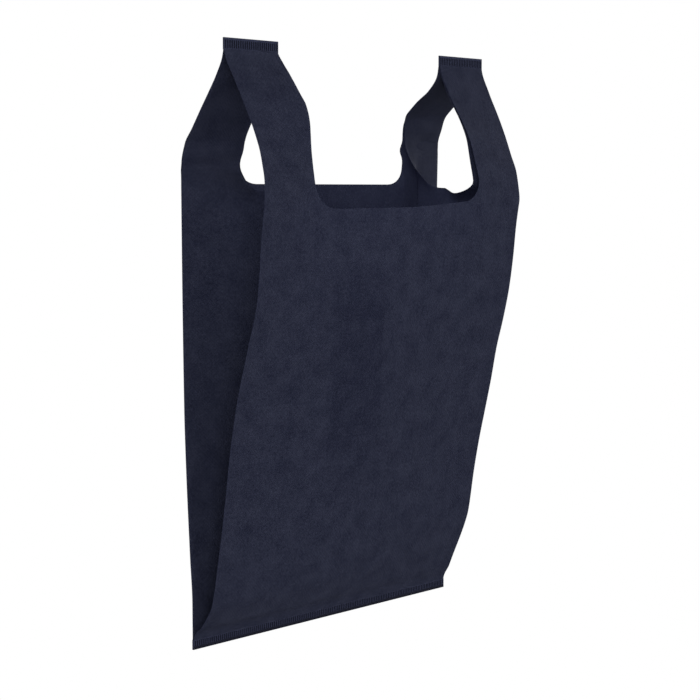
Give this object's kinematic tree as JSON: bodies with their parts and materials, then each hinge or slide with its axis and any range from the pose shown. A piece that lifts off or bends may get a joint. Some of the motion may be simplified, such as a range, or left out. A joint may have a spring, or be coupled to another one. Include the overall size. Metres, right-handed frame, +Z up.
{
  "type": "non-woven t-shirt bag",
  "caption": "Gusseted non-woven carrier bag hanging open, with a straight welded foot and strap handles cut from the same tube and welded at their tops.",
  "frame": {"origin": "middle of the bag's bounding box at its foot", "axes": "+X across the bag from its left handle to its right, +Y from front panel to back panel, +Z up towards the handle welds as it hangs"},
  "size_m": [0.301, 0.1028, 0.4758],
  "materials": {
    "spunbond_cloth": "matte point-bonded non-woven polypropylene, dark navy"
  },
  "bodies": {
    "root": {"bag": "spunbond_cloth"}
  },
  "joints": []
}
